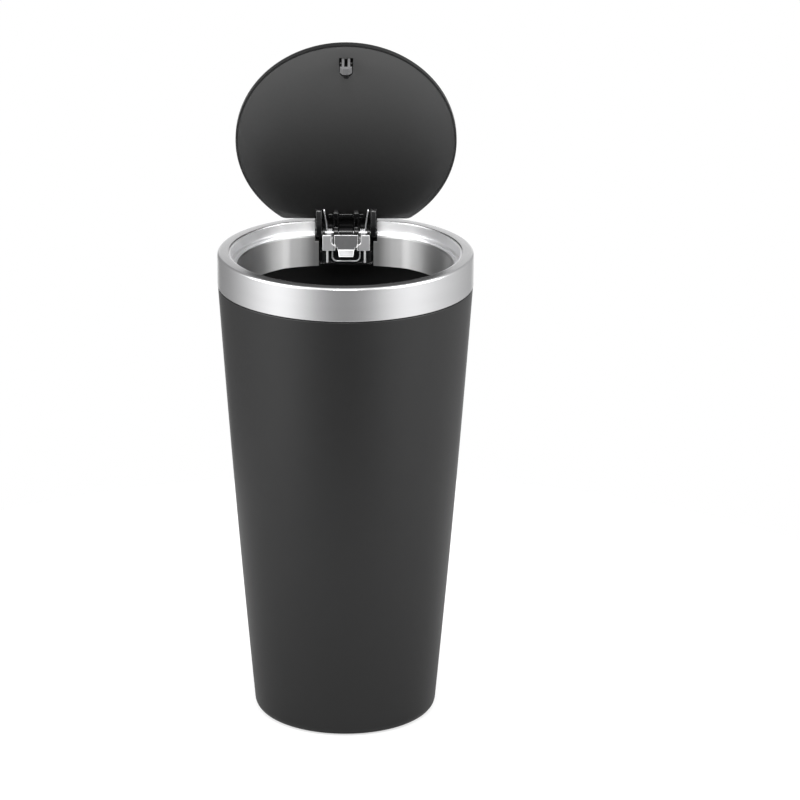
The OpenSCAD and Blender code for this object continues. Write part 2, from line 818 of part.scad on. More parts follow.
module striker() {
    tip_z = lid_under_z - striker_l;
    shoulder = tip_z + head_h;
    plate_z = lid_under_z + base_plate_t;
    color("#8f9093")
    on_lid()
    difference() {
        union() {
            translate([0, 0, lid_under_z])
            linear_extrude(base_plate_t)
            difference() {
                base_plate_outline(0);
                for (s = [-1, 1])
                    translate([s * (prong_x1 + 1) - 1, striker_y0 - 1])
                    square([2, striker_y1 - striker_y0 + 0.6]);
            }
            along_y(striker_y0, striker_y1) {
                polygon([
                    [-head_x, shoulder], [head_x, shoulder], [head_x, shoulder - 0.3],
                    [head_x - 1, tip_z], [1 - head_x, tip_z], [-head_x, shoulder - 0.3],
                ]);
                for (s = [-1, 1])
                    translate([s * (prong_x0 + prong_t / 2) - prong_t / 2, tip_z + 0.5])
                    square([prong_t, plate_z - tip_z - 0.5]);
            }
        }
        translate([0, striker_screw_y, lid_under_z - 1])
        cylinder(h = 3, r = 0.5 + seat_fit, $fn = 32);
    }
}

module striker_screw() {
    color("#202022")
    on_lid()
    translate([0, striker_screw_y, lid_under_z - 0.5])
    difference() {
        union() {
            cylinder(h = 0.5 + panel_t - 0.3, r = 0.5, $fn = 32);
            cylinder(h = 0.45, r = 1.05, $fn = 32);
        }
        for (a = [0, 90])
            rotate(a)
            block([-0.55, -0.12, -1], [0.55, 0.12, 0.25]);
    }
}

module latch_housing() {
    top_z = rim_z - latch_top;
    mouth_z = rim_z - bore_top;
    color("#1b1b1d")
    difference() {
        intersection() {
            block([-latch_x, -sleeve_r, rim_z - latch_bottom], [latch_x, front_y, top_z]);
            translate([0, 0, rim_z - latch_bottom])
            cylinder(h = latch_bottom, r = sleeve_r - seat_fit);
        }
        block(
            [-bore_x, -latch_y - bore_y, rim_z - latch_floor],
            [bore_x, -latch_y + bore_y, mouth_z]
        );
        along_y(-latch_y - mouth_y, -latch_y + mouth_y)
        polygon([
            [-mouth_x0, mouth_z - eps], [mouth_x0, mouth_z - eps],
            [mouth_x1, top_z + eps], [-mouth_x1, top_z + eps],
        ]);
        both_sides()
        translate([latch_screw_x, -latch_y - bore_y - 0.1, rim_z - latch_screw_depth])
        rotate([90, 0, 0])
        cylinder(h = 6, r = screw_r + seat_fit);
        translate([follower_x, front_y + 1, rim_z - follower_foot])
        rotate([90, 0, 0])
        cylinder(h = 3, r = follower_r + seat_fit / 2);
    }
}

module latch_screws() {
    color("silver")
    both_sides()
    translate([latch_screw_x, -sleeve_out_r, rim_z - latch_screw_depth])
    rotate([90, 0, 0])
    small_screw(latch_screw_l, 0.8);
}

// Outline of the heart-shaped cam track on the plunger, with its island left standing
module cam_track() {
    lane = 0.8;
    tip = follower_tip;
    difference() {
        union() {
            translate([follower_x - lane / 2, rim_z - plunger_bottom - 1])
            square([lane, plunger_bottom - tip + travel + 1.4]);
            translate([follower_x - lane / 2, rim_z - tip - 0.5])
            square([2 * abs(follower_x) + lane, travel + 0.9]);
        }
        polygon([
            [-0.4, rim_z - tip + 0.5], [0.1, rim_z - tip + 0.25], [0.5, rim_z - tip + 0.6],
            [0.5, rim_z - tip + 1.9], [0.2, rim_z - tip + 1.6], [-0.4, rim_z - tip + 2],
        ]);
    }
}

module latch_plunger() {
    base_z = rim_z - plunger_base_top;
    bottom_z = rim_z - plunger_bottom;
    cheek_z = rim_z - cheek_top;
    pivot_z = rim_z - jaw_pivot_depth;
    color("#e6e6e4")
    difference() {
        union() {
            block([-plunger_x, -latch_y - plunger_y, bottom_z], [plunger_x, -latch_y + plunger_y, base_z]);
            for (s = [0, 1])
                mirror([0, s, 0])
                translate([0, s * 2 * latch_y, 0])
                block(
                    [-plunger_x, -latch_y + plunger_y - cheek_t, base_z - eps],
                    [plunger_x, -latch_y + plunger_y, cheek_z]
                );
            block([-1.5, -latch_y - jaw_y, base_z - eps], [1.5, -latch_y + jaw_y, rim_z - seat_depth]);
            translate([0, -latch_y, bottom_z - 1.5])
            cylinder(h = 1.6, r1 = spigot_r - 0.2, r2 = spigot_r);
        }
        both_sides()
        translate([jaw_pivot_x, -latch_y + plunger_y + 1, pivot_z])
        rotate([90, 0, 0])
        cylinder(h = 2 * plunger_y + 2, r = jaw_pin_r + seat_fit / 2);
        along_y(-latch_y + plunger_y - groove_t, -latch_y + plunger_y + 1)
        cam_track();
    }
}

// One jaw, upright, with its pivot at jaw_pivot_x
module jaw() {
    pivot_z = rim_z - jaw_pivot_depth;
    translate([jaw_pivot_x, 0, pivot_z])
    rotate([0, jaw_tilt, 0])
    translate([-jaw_pivot_x, 0, -pivot_z])
    difference() {
        along_y(-latch_y - jaw_y, -latch_y + jaw_y) {
            translate([jaw_pivot_x, pivot_z])
            circle(r = jaw_root_r, $fn = 48);
            polygon([
                [jaw_in, pivot_z], [jaw_in + jaw_arm, pivot_z],
                [jaw_in + jaw_arm, pivot_z + jaw_neck_h - 0.4], [jaw_out, pivot_z + jaw_neck_h],
                [jaw_out, pivot_z + jaw_top_h - 0.6], [jaw_out - 0.6, pivot_z + jaw_top_h],
                [jaw_in, pivot_z + jaw_top_h], [lip_x, pivot_z + jaw_top_h - 0.6],
                [lip_x, pivot_z + jaw_top_h - lip_h], [jaw_in, pivot_z + jaw_top_h - lip_h],
            ]);
        }
        translate([jaw_pivot_x, -latch_y + jaw_y + 1, pivot_z])
        rotate([90, 0, 0])
        cylinder(h = 2 * jaw_y + 2, r = jaw_pin_r + knuckle_fit, $fn = 48);
    }
}

module jaw_right() {
    color("#d8d8d6")
    jaw();
}

module jaw_left() {
    color("#d8d8d6")
    mirror([1, 0, 0])
    jaw();
}

module jaw_pins() {
    color("silver")
    both_sides()
    translate([jaw_pivot_x, -latch_y + plunger_y - 0.1, rim_z - jaw_pivot_depth])
    rotate([90, 0, 0])
    cylinder(h = 2 * plunger_y - 0.2, r = jaw_pin_r, $fn = 48);
}

module latch_spring() {
    r = plunger_wire / 2;
    low = rim_z - latch_floor + r;
    high = rim_z - plunger_bottom - r;
    steps = 14 * plunger_turns;
    path = [
        for (i = [0 : steps])
            let (a = 360 * plunger_turns * i / steps)
            [
                plunger_coil / 2 * cos(a),
                -latch_y + plunger_coil / 2 * sin(a),
                low + (high - low) * i / steps,
            ]
    ];
    color("#d8d8d8")
    wire(path, r, [1, 0, 0], 6);
}

module latch_follower() {
    foot_z = rim_z - follower_foot;
    color("#d8d8d8") {
        translate([follower_x, follower_y, foot_z])
        cylinder(h = follower_foot - follower_tip, r = follower_r, $fn = 24);
        translate([follower_x, follower_y, foot_z])
        sphere(r = follower_r, $fn = 24);
        translate([follower_x, front_y, foot_z])
        rotate([90, 0, 0])
        cylinder(h = front_y - follower_y, r = follower_r, $fn = 24);
    }
}

shell();
collar_band();
collar_insert();
hinge_carrier();
carrier_screws();
hinge_cover();
hinge_pin();
lid_spring();
lid_cover();
lid_panel();
striker();
striker_screw();
latch_housing();
latch_screws();
latch_plunger();
jaw_left();
jaw_right();
jaw_pins();
latch_spring();
latch_follower();
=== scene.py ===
"""Car trash bin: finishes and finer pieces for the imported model, with a pale studio round it."""
import json
import math

import bmesh
import bpy
import numpy as np
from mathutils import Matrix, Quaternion, Vector


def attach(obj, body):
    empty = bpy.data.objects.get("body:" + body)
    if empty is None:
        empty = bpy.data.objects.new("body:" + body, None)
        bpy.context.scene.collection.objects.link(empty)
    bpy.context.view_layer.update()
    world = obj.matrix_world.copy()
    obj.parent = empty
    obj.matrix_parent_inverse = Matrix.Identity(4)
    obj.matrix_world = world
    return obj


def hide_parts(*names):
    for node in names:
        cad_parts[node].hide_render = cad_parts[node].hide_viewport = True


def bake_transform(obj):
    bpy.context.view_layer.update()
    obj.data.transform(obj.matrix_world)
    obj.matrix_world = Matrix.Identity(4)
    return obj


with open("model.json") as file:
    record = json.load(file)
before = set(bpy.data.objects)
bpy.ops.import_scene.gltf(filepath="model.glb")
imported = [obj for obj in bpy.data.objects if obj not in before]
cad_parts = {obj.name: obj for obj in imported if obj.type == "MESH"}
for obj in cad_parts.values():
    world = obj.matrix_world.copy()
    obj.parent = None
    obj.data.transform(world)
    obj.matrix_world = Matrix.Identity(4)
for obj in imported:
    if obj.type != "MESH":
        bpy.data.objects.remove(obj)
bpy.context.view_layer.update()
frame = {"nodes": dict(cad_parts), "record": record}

MM = 0.001
SCENE = bpy.context.scene
RECORD = frame["record"]
NODE_BODY = {node: body for body, nodes in RECORD["behaviour"]["bodies"].items() for node in nodes}

# The collar's sizes in millimetres, as the part's source has them
RIM_Z = 167.0
COLLAR_R = 44.0
RIM_W = 4.0
BAND_H = 11.8
BAND_WALL = 1.7
COLLAR_FIT = 0.3
SEAM_GAP = 0.2
BACK_FLAT = 2.6
BACK_ARC_R = 60.0
RECESS_DEPTH = 3.7
STEP_H = 0.8
SLEEVE_INSET = 3.25
MOUTH_R = COLLAR_R - RIM_W
BACK_Y = MOUTH_R - BACK_FLAT
BACK_ARC_Y = BACK_Y - BACK_ARC_R
INNER_LEDGE_Z = RIM_Z - RECESS_DEPTH - STEP_H

# The shell's sizes
BASE_R = 31.5
SHELL_STEP = 0.15
SHELL_BULGE = 0.5
SHELL_WALL = 1.8
FLOOR_T = 2.0
FLOOR_ROUND = 4.0
BASE_LIFT = 1.2
FOOT_W = 3.2
FOOT_ROUND = 3.6
SHOULDER_ROUND = 0.3
NECK_WALL = 1.3
NECK_H = 6.6
NECK_EDGE = 0.4
NECK_ROOT = 2.0
SHELL_TOP_R = COLLAR_R - SHELL_STEP
SHOULDER_Z = RIM_Z - BAND_H - SEAM_GAP
FLOOR_Z = BASE_LIFT + FLOOR_T
NECK_OUT_R = COLLAR_R - BAND_WALL - COLLAR_FIT
NECK_IN_R = NECK_OUT_R - NECK_WALL
NECK_Z = SHOULDER_Z + NECK_H

# The lid's and the hinge's sizes; the bar joins the ribs under the lid
HINGE_BACK = 1.3
HINGE_DROP = 4.3
NEAR_HINGE = 9.0
OPEN_ANGLE = 74.5
LID_PROUD = 0.1
LID_T = 2.4
LID_REACH = 74.0
HINGE_Y = BACK_Y - HINGE_BACK
HINGE_Z = RIM_Z - HINGE_DROP
LID_TOP_Z = RIM_Z + LID_PROUD
LID_UNDER_Z = LID_TOP_Z - LID_T
BAR_Y = HINGE_Y - 6.95
CARRIER_TOP_Z = RIM_Z - 0.2
CARRIER_LIFT = 0.55
PLATE_FOOT_Z = RIM_Z - 9.8
PLATE_X = 4.35

# The lid spring's sizes
WIRE_R = 0.25
COIL_R = 1.3
COIL_TURNS = 3
COIL_X = 6.85
BAIL_X = 4.85
BAIL_Y = HINGE_Y - 1.6
BAIL_DEPTH = 14.4
BAIL_ROUND = 1.7
LEG_BEND = 0.55
LEG_LENGTH = 8.5
LEG_SPLAY = 0.85

# The latch's sizes
LATCH_INSET = 4.75
LATCH_Y = MOUTH_R - SLEEVE_INSET - LATCH_INSET
LATCH_WIRE_R = 0.2
LATCH_COIL_R = 1.9
LATCH_TURNS = 5
LATCH_FOOT_Z = RIM_Z - 23.5
PLUNGER_FOOT_Z = RIM_Z - 17.5
SLOT_X = 0.57
POCKET_X = 3.0
POCKET_L = 7.0

# The camera: pixels belong to a picture IMAGE pixels wide, angles are in degrees and the distance in metres
IMAGE = 800.0
FOCAL_PX = 4662.0
SENSOR = 36.0
SIGHT_ELEVATION = 16.80
SIGHT_AZIMUTH = -0.3
SIGHT_ROLL = 0.27
SIGHT_DISTANCE = 1.6
RIM_PIXEL = (345.45, 250.9)


def add_object(name, data):
    """A new object at the origin of the scene."""
    thing = bpy.data.objects.new(name, data)
    SCENE.collection.objects.link(thing)
    return thing


def make_camera():
    """Long lens at the photograph's angle: the rim's centre falls on its own pixel of the picture."""
    e, a = math.radians(SIGHT_ELEVATION), math.radians(SIGHT_AZIMUTH)
    sight = Vector((math.sin(a) * math.cos(e), math.cos(a) * math.cos(e), -math.sin(e)))
    right = sight.cross(Vector((0, 0, 1))).normalized()
    up = right.cross(sight)
    dx, dy = IMAGE / 2 - RIM_PIXEL[0], IMAGE / 2 - RIM_PIXEL[1]
    forward = (sight * FOCAL_PX + right * dx - up * dy).normalized()
    data = bpy.data.cameras.new("camera")
    data.sensor_width = SENSOR
    data.lens = FOCAL_PX * SENSOR / IMAGE
    data.clip_start, data.clip_end = 0.05, 50
    data.dof.use_dof = False
    camera = add_object("camera", data)
    camera.location = Vector((0, 0, RIM_Z * MM)) - sight * SIGHT_DISTANCE
    level = forward.to_track_quat("-Z", "Y")
    camera.rotation_euler = (level @ Quaternion((0, 0, 1), math.radians(SIGHT_ROLL))).to_euler()
    SCENE.camera = camera


class Value:
    """A socket in a node tree; sums, products and comparisons of values add Math nodes."""

    def __init__(self, tree, socket):
        self.tree, self.socket = tree, socket

    def _math(self, operation, *values):
        return self.tree.add("ShaderNodeMath", {"operation": operation}, dict(enumerate(values)))

    def __add__(self, other):
        return self._math("ADD", self, other)

    def __sub__(self, other):
        return self._math("SUBTRACT", self, other)

    def __rsub__(self, other):
        return self._math("SUBTRACT", other, self)

    def __mul__(self, other):
        return self._math("MULTIPLY", self, other)

    def __truediv__(self, other):
        return self._math("DIVIDE", self, other)

    def __neg__(self):
        return self._math("MULTIPLY", self, -1.0)

    def __lt__(self, other):
        return self._math("LESS_THAN", self, other)

    __radd__, __rmul__ = __add__, __mul__

    def least(self, other):
        return self._math("MINIMUM", self, other)

    def most(self, other):
        return self._math("MAXIMUM", self, other)

    def root(self):
        return self._math("SQRT", self)

    def absolute(self):
        return self._math("ABSOLUTE", self)

    def between(self, low, high):
        """0 below low, 1 above high, a smooth rise between them."""
        return self.tree.add(
            "ShaderNodeMapRange", {"interpolation_type": "SMOOTHSTEP"},
            {"Value": self, "From Min": low, "From Max": high, "To Min": 0.0, "To Max": 1.0},
        )


class Tree:
    """A node tree with one way to add a node: its type, its settings, then its sockets' values or links."""

    def __init__(self, owner):
        owner.use_nodes = True
        self.nodes, self.links = owner.node_tree.nodes, owner.node_tree.links
        self.nodes.clear()

    def add(self, kind, settings=None, sockets=None, out=0):
        node = self.nodes.new(kind)
        for key, value in (settings or {}).items():
            setattr(node, key, value)
        for key, value in (sockets or {}).items():
            socket = node.inputs[key]
            if isinstance(value, Value):
                self.links.new(value.socket, socket)
            elif isinstance(value, tuple) and socket.type == "RGBA":
                socket.default_value = (*value, 1.0)
            else:
                socket.default_value = value
        return Value(self, node.outputs[out]) if len(node.outputs) else None

    def mix(self, factor, a, b):
        """Colour a where factor is 0 and colour b where it is 1."""
        settings = {"data_type": "RGBA", "clamp_factor": True}
        return self.add("ShaderNodeMix", settings, {0: factor, 6: a, 7: b}, out=2)

    def ramp(self, factor, stops):
        """A grey that runs through the given stops, (place, tone), as factor goes from 0 to 1."""
        grey = self.add("ShaderNodeValToRGB", None, {0: factor})
        elements = grey.socket.node.color_ramp.elements
        while len(elements) < len(stops):
            elements.new(1.0)
        for element, (place, tone) in zip(elements, stops):
            element.position = place
            element.color = (tone, tone, tone, 1)
        return grey

    def place(self):
        """Object coordinates in metres."""
        return self.add("ShaderNodeTexCoord", out=3)

    def sky(self):
        """The direction that a ray of the world comes from."""
        return self.add("ShaderNodeTexCoord", out=0)

    def axes(self, vector):
        split = self.add("ShaderNodeSeparateXYZ", None, {0: vector})
        return [Value(self, out) for out in split.socket.node.outputs]

    def join(self, x, y, z):
        return self.add("ShaderNodeCombineXYZ", None, {0: x, 1: y, 2: z})

    def noise(self, vector, scale, detail=2.0, roughness=0.5):
        return self.add(
            "ShaderNodeTexNoise", {"noise_dimensions": "3D"},
            {"Vector": vector, "Scale": scale, "Detail": detail, "Roughness": roughness},
        )

    def bump(self, height, depth, strength=1.0):
        """A normal that follows a height; its depth is in millimetres."""
        sockets = {"Height": height, "Distance": depth * MM, "Strength": strength}
        return self.add("ShaderNodeBump", None, sockets)


FINISHES = {}


def finish(make):
    """Registers a Principled finish under its maker's name; the maker returns the shader's socket values."""
    material = bpy.data.materials.new(make.__name__)
    tree = Tree(material)
    shader = tree.add("ShaderNodeBsdfPrincipled", None, make(tree))
    tree.add("ShaderNodeOutputMaterial", None, {"Surface": shader})
    FINISHES[make.__name__] = material
    return make


def grained(tree, scale, tones, roughness, depth, detail=3.0, fineness=0.6, strength=0.3, **constants):
    """A fine grain: noise that runs the colour and the roughness between two values and lifts the surface."""
    grain = tree.noise(tree.place(), scale, detail, fineness)
    low, high = roughness
    return {
        "Base Color": tree.mix(grain, *tones),
        "Roughness": low + grain * (high - low),
        "Normal": tree.bump(grain, depth, strength),
        **{name.replace("_", " "): value for name, value in constants.items()},
    }


def mouth_inset(x, y):
    """Distance inside the mouth's edge: the lesser of those from its round part and from the flatter arc."""
    r = (x * x + y * y).root()
    back = y - BACK_ARC_Y * MM
    return (MOUTH_R * MM - r).least(BACK_ARC_R * MM - (x * x + back * back).root())


# Fine grooves and broad bands to each metre of turned metal
GROOVES = 1600.0
BANDS = 300.0


def turned_metal(tree, tone, roughness, depth, spread, metallic=1.0):
    """Fine grooves that run round the collar: noise over height plus the distance from the mouth's edge."""
    x, y, z = tree.axes(tree.place())
    level = z + mouth_inset(x, y)
    groove = tree.noise(tree.join(x * 3.0, y * 3.0, level * GROOVES), 1.0, 2.0, 0.7)
    broad = tree.noise(tree.join(x * 20.0, y * 20.0, level * BANDS), 1.0, 2.0)
    return {
        "Base Color": tree.mix(broad, tuple(c * 0.94 for c in tone), tone),
        "Metallic": metallic,
        "Roughness": roughness + (broad - 0.5) * 0.04,
        "Anisotropic": spread,
        "Anisotropic Rotation": 0.25,
        "Normal": tree.bump(groove, depth),
    }


@finish
def charcoal_coat(tree):
    """Fine grained powder coat outside, darkened towards the foot by painted shade, and plain black plastic
    inside.
    """
    place = tree.place()
    x, y, z = tree.axes(place)
    r = (x * x + y * y).root()
    climb = z * (1.0 / (SHOULDER_Z * MM))
    taper = z * ((SHELL_TOP_R - BASE_R) / SHOULDER_Z)
    bulge = climb * (1.0 - climb) * (4.0 * SHELL_BULGE * MM)
    inside = (r - taper - bulge) < (BASE_R - 1.0) * MM
    grain = tree.noise(place, 2600.0, 2.0, 0.6)
    patch = tree.noise(place, 90.0, 3.0, 0.6)
    coat = tree.mix(grain * 0.6 + patch * 0.4, (0.006, 0.006, 0.0062), (0.014, 0.014, 0.0143))
    # painted shade: the coat turns near black towards the foot, for the shade low on the shell
    foot = 1.0 - z.between(0.0, 75 * MM)
    coat = tree.mix(foot * 0.6, coat, (0.001, 0.001, 0.001))
    return {
        "Base Color": tree.mix(inside, coat, (0.006, 0.006, 0.0065)),
        "Roughness": 0.37 + (grain - 0.5) * 0.12,
        "Specular IOR Level": 0.52,
        "Normal": tree.bump(grain, 0.03, 0.5),
    }


@finish
def satin_silver(tree):
    """The collar's outer band."""
    return turned_metal(tree, (0.80, 0.80, 0.81), 0.26, 0.001, 0.3)


@finish
def sleeve_silver_painted_light(tree):
    """The sleeve, with painted light in its colour: painted shade beside the hinge's window and on the far
    left, and a painted highlight in an upright band a little way off the window. The stops give its painted
    tone against the distance from the middle, as a part of the mouth's radius."""
    x, y, z = tree.axes(tree.place())
    # painted light: the ramp paints dull shade near the window and a bright upright band of reflected light
    stops = [(0.0, 0.38), (0.28, 0.38), (0.35, 0.70), (0.40, 0.80), (0.45, 0.74), (0.52, 0.62), (1.0, 0.60)]
    band = tree.ramp(x.absolute() * (1.0 / (MOUTH_R * MM)), stops)
    # painted shade on the far left of the sleeve
    far_left_shade = (-x).between(31 * MM, 37 * MM)
    sockets = turned_metal(tree, (0.60, 0.60, 0.61), 0.47, 0.004, 0.93)
    sockets["Base Color"] = tree.mix(far_left_shade * 0.8, band, (0.1, 0.1, 0.1))
    return sockets


@finish
def recess_silver(tree):
    """The lid's recess, with painted light beside the hinge: a lighter, less metallic tone there."""
    x, y, z = tree.axes(tree.place())
    # painted light: this mask lightens the colour and lowers the metal beside the hinge
    by_hinge = y.between(0.0, 20 * MM) * (1.0 - x.absolute().between(12 * MM, 30 * MM))
    sockets = turned_metal(tree, (0.95, 0.95, 0.96), 0.34, 0.002, 0.7, 0.85 - by_hinge * 0.53)
    sockets["Base Color"] = tree.mix(by_hinge, (0.86, 0.86, 0.87), (0.98, 0.98, 0.985))
    return sockets


@finish
def lid_satin_painted_shade(tree):
    """Smooth satin panel with painted shade: its colour is graded from grey at the lid's free edge to near
    black at the hinge.
    """
    place = tree.place()
    x, y, z = tree.axes(place)
    mottle = tree.noise(place, 900.0, 2.0, 0.5)
    # painted shade: a grade in the colour darkens the lid from its free edge down to the hinge
    climb = (z - HINGE_Z * MM) * (1.0 / (LID_REACH * MM))
    painted_shade_grade = tree.ramp(climb, [(0.0, 0.004), (0.25, 0.015), (0.5, 0.038), (0.75, 0.068), (1.0, 0.095)])
    return {
        "Base Color": tree.mix(mottle * 0.04, painted_shade_grade, (0.2, 0.2, 0.2)),
        "Metallic": 0.15,
        "Roughness": 0.42 + (mottle - 0.5) * 0.04,
        "Normal": tree.bump(mottle, 0.002, 0.5),
    }


@finish
def lid_black(tree):
    """The lid's outer cover: black satin moulding."""
    tones = (0.007, 0.007, 0.0072), (0.011, 0.011, 0.0113)
    grain = {"detail": 2.0, "fineness": 0.5, "strength": 0.4}
    return grained(tree, 1500.0, tones, (0.30, 0.38), 0.006, Specular_IOR_Level=0.35, **grain)


@finish
def black_moulding(tree):
    """Glossy black of the hinge carrier, the latch housing and the lid's ears and ribs."""
    tones = (0.006, 0.006, 0.0065), (0.012, 0.012, 0.0125)
    return grained(tree, 1400.0, tones, (0.16, 0.26), 0.004)


@finish
def painted_shade_black(tree):
    """Painted shade: a near-black matt colour with little specular, for the striker's pocket and slot and the
    top of the bar between the ribs.
    """
    tones = (0.002, 0.002, 0.002), (0.005, 0.005, 0.005)
    return grained(tree, 1400.0, tones, (0.6, 0.8), 0.004, detail=2.0, Specular_IOR_Level=0.12)


@finish
def grey_acetal(tree):
    """The striker's plastic."""
    tones = (0.12, 0.12, 0.123), (0.17, 0.17, 0.173)
    return grained(tree, 1200.0, tones, (0.20, 0.30), 0.01)


@finish
def white_acetal(tree):
    """The plastic of the latch's plunger and jaws."""
    tones = (0.70, 0.70, 0.68), (0.78, 0.78, 0.76)
    return grained(tree, 1200.0, tones, (0.36, 0.46), 0.01)


@finish
def stamped_steel(tree):
    """Plated sheet with a fine upright grain; painted shade makes the pressed plate and the tongue below it
    darker.
    """
    x, y, z = tree.axes(tree.place())
    grain = tree.noise(tree.join(x * 5000.0, y * 900.0, z * 500.0), 1.0, 2.0, 0.6)
    # painted shade: the pressed middle plate and the tongue below it get darker tones than the tabs
    above_foot = z.between(PLATE_FOOT_Z * MM, (PLATE_FOOT_Z + 0.1) * MM)
    middle = 1.0 - x.absolute().between(PLATE_X * MM, (PLATE_X + 0.1) * MM)
    sheet = tree.mix(middle * above_foot, (0.66, 0.66, 0.67), (0.24, 0.24, 0.245))
    sheet = tree.mix(middle * (1.0 - above_foot), sheet, (0.30, 0.30, 0.305))
    return {
        "Base Color": tree.mix(grain * 0.3, sheet, (0.50, 0.50, 0.51)),
        "Metallic": 0.55,
        "Roughness": 0.34 + grain * 0.12,
        "Normal": tree.bump(grain, 0.006, 0.5),
    }


@finish
def painted_edge_highlight(tree):
    """Painted highlight: a near-white tone on the rounded, sheared edges of the plated sheet."""
    tones = (0.90, 0.90, 0.91), (0.98, 0.98, 0.98)
    return grained(tree, 3000.0, tones, (0.30, 0.40), 0.003, detail=2.0, strength=0.4, Metallic=0.2)


@finish
def bright_wire(tree):
    """Bright spring wire and pins."""
    tones = (0.86, 0.86, 0.88), (0.94, 0.94, 0.95)
    return grained(tree, 3000.0, tones, (0.24, 0.34), 0.003, detail=2.0, strength=0.5, Metallic=0.6)


def on_closed_lid(places):
    """Where points of the open lid lie on the closed one, which is the lid turned back about its pin: how far
    back, and how far below the lid's top."""
    a = math.radians(OPEN_ANGLE)
    y, z = places[:, 1] / MM - HINGE_Y, places[:, 2] / MM - HINGE_Z
    back = HINGE_Y + y * math.cos(a) - z * math.sin(a)
    return back, LID_TOP_Z - (HINGE_Z + y * math.sin(a) + z * math.cos(a))


def on_open_lid(places):
    """Where points of the closed lid lie on the open one: turned up about the pin."""
    a = math.radians(OPEN_ANGLE)
    y, z = places[:, 1] - HINGE_Y, places[:, 2] - HINGE_Z
    turned_y = HINGE_Y + y * math.cos(a) + z * math.sin(a)
    turned_z = HINGE_Z - y * math.sin(a) + z * math.cos(a)
    return np.stack([places[:, 0], turned_y, turned_z], -1)


def near_striker(places, half_width):
    """True near the striker, less than half_width from the middle."""
    back = on_closed_lid(places)[0]
    return (np.abs(places[:, 0]) < half_width * MM) & (back < POCKET_L - LATCH_Y)


def lid_underside(centres):
    """1 for the ears and ribs, which hang below the panel, 2 for painted shade black on the striker's pocket
    and on the top of the bar between the ribs, and 0 for the panel."""
    back, depth = on_closed_lid(centres)
    pocket = near_striker(centres, POCKET_X) & (depth < LID_T - 0.05)
    bar_top = (np.abs(back - BAR_Y) < 0.3) & (depth > LID_T) & (depth < LID_T + 0.8)
    return np.where(pocket | bar_top, 2, depth > LID_T + 0.05)


def striker_slot(centres):
    """1 for the floor of the slot between the striker's prongs, which takes painted shade black."""
    return near_striker(centres, SLOT_X) & (on_closed_lid(centres)[1] < LID_T + 0.6)


def recess_faces(centres):
    """1 for the lid's recess and its ledges, and 0 for the sleeve below them."""
    return centres[:, 2] > (INNER_LEDGE_Z - 0.05) * MM


def ears_first(middles):
    """Ears and ribs are rounded in full, and the panel by a quarter of that, but not beside the hinge."""
    depth = on_closed_lid(middles)[1]
    low = middles[:, 2] < (HINGE_Z + NEAR_HINGE) * MM
    by_hinge = low & (np.abs(middles[:, 0]) < NEAR_HINGE * MM)
    return np.where(depth > LID_T + 0.1, 1.0, np.where(by_hinge, 0.0, 0.25))


def raised_lip(mesh):
    """Lifts the top of the carrier's back wall so that it stands just above the rim behind it."""
    places = np.empty(len(mesh.vertices) * 3)
    mesh.vertices.foreach_get("co", places)
    heights = places[2::3]
    heights[heights > (CARRIER_TOP_Z - 0.05) * MM] += CARRIER_LIFT * MM
    mesh.vertices.foreach_set("co", places)


def merged_copy(node):
    """A copy of a node's mesh with its loose triangles joined and its flat faces made whole."""
    mesh = frame["nodes"][node].data.copy()
    mesh.materials.clear()
    shape = bmesh.new()
    shape.from_mesh(mesh)
    bmesh.ops.remove_doubles(shape, verts=shape.verts, dist=0.002 * MM)
    bmesh.ops.dissolve_degenerate(shape, edges=shape.edges, dist=0.001 * MM)
    flat = math.radians(0.3)
    bmesh.ops.dissolve_limit(
        shape, angle_limit=flat, use_dissolve_boundaries=False, verts=shape.verts, edges=shape.edges
    )
    shape.to_mesh(mesh)
    shape.free()
    return mesh


SHARP_ANGLE = math.radians(30)


def weigh_edges(mesh, share):
    """Gives each sharp edge its share of the bevel's width, 1 where there is no share."""
    shape = bmesh.new()
    shape.from_mesh(mesh)
    sharp = np.array([e.calc_face_angle(0.0) > SHARP_ANGLE for e in shape.edges], np.float32)
    middles = np.array([(e.verts[0].co + e.verts[1].co) / 2 for e in shape.edges])
    shape.free()
    weights = mesh.attributes.new("bevel_weight_edge", "FLOAT", "EDGE")
    weights.data.foreach_set("value", (sharp * (share(middles) if share else 1.0)).astype(np.float32))


def stand_for(node):
    """A piece replaces a node, which is hidden."""
    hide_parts(node)


def refined(
    node, look, width, segments=2, clamp=True, share=None, reshape=None, edge_look=None, zone=None, second=()
):
    """A merged copy of a node's mesh with its edges rounded. The zone gives each face's finish from its
    centre: 0 for the look, 1 and up for those in second."""
    mesh = merged_copy(node)
    if reshape:
        reshape(mesh)
    mesh.shade_smooth()
    mesh.set_sharp_from_angle(angle=SHARP_ANGLE)
    weigh_edges(mesh, share)
    piece = add_object(node + "_piece", mesh)
    bevel = piece.modifiers.new("edges", "BEVEL")
    bevel.width = width * MM
    bevel.segments = segments
    bevel.limit_method = "WEIGHT"
    bevel.harden_normals = True
    bevel.use_clamp_overlap = clamp
    mesh.materials.append(FINISHES[look])
    # the bevel's faces take the edge look; on the hinge cover that is a painted highlight
    if edge_look:
        mesh.materials.append(FINISHES[edge_look])
        bevel.material = 1
    if zone:
        for name in second:
            mesh.materials.append(FINISHES[name])
        centres = np.empty(len(mesh.polygons) * 3)
        mesh.polygons.foreach_get("center", centres)
        mesh.polygons.foreach_set("material_index", zone(centres.reshape(-1, 3)).astype(np.int32))
    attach(piece, NODE_BODY[node])
    stand_for(node)


